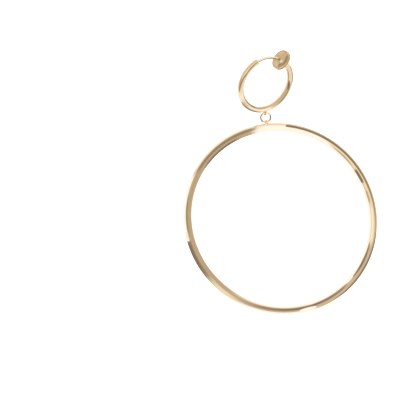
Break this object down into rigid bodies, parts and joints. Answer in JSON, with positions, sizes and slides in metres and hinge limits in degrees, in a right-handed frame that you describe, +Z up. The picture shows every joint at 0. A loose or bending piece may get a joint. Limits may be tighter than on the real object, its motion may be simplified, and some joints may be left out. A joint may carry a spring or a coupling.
{
  "type": "clip-on earring",
  "caption": "Clip-on drop earring for an unpierced ear: a small sprung clip ring with a round pad, a jump ring and a large round hoop of polished pale gold tube.",
  "frame": {"origin": "middle of the clip tube's solid end, where the pad closes on the ear lobe", "axes": "+Z up as it hangs from the ear; the large hoop hangs in the XZ plane and -Y is its front"},
  "size_m": [0.0512, 0.0115, 0.0699],
  "materials": {
    "tube_gold": "polished pale gold plate",
    "post_gold": "polished pale gold plate",
    "link_gold": "polished pale gold plate",
    "hoop_gold": "polished pale gold plate"
  },
  "bodies": {
    "clip": {"clip_tube": "tube_gold"},
    "post": {"clip_post": "post_gold"},
    "link": {"jump_ring": "link_gold"},
    "drop": {"drop_hoop": "hoop_gold"}
  },
  "joints": [
    {"name": "post_slide", "type": "hinge", "parent": "clip", "child": "post", "pos_m": [-0.00494, -0.00186, -0.00511], "axis": [0.5985, -0.7391, -0.309], "range_deg": [0, 45], "stiffness_Nm_per_rad": 0.0015, "springref_deg": -85.94},
    {"name": "link_swing", "type": "hinge", "parent": "clip", "child": "link", "pos_m": [-0.00652, 0.00009, -0.0137], "axis": [0.3338, -0.9426, 0], "range_deg": [-25, 25]},
    {"name": "drop_swing", "type": "hinge", "parent": "link", "child": "drop", "pos_m": [-0.00652, 0.00009, -0.01571], "axis": [0.9426, 0.3338, 0], "range_deg": [-60, 60]}
  ]
}
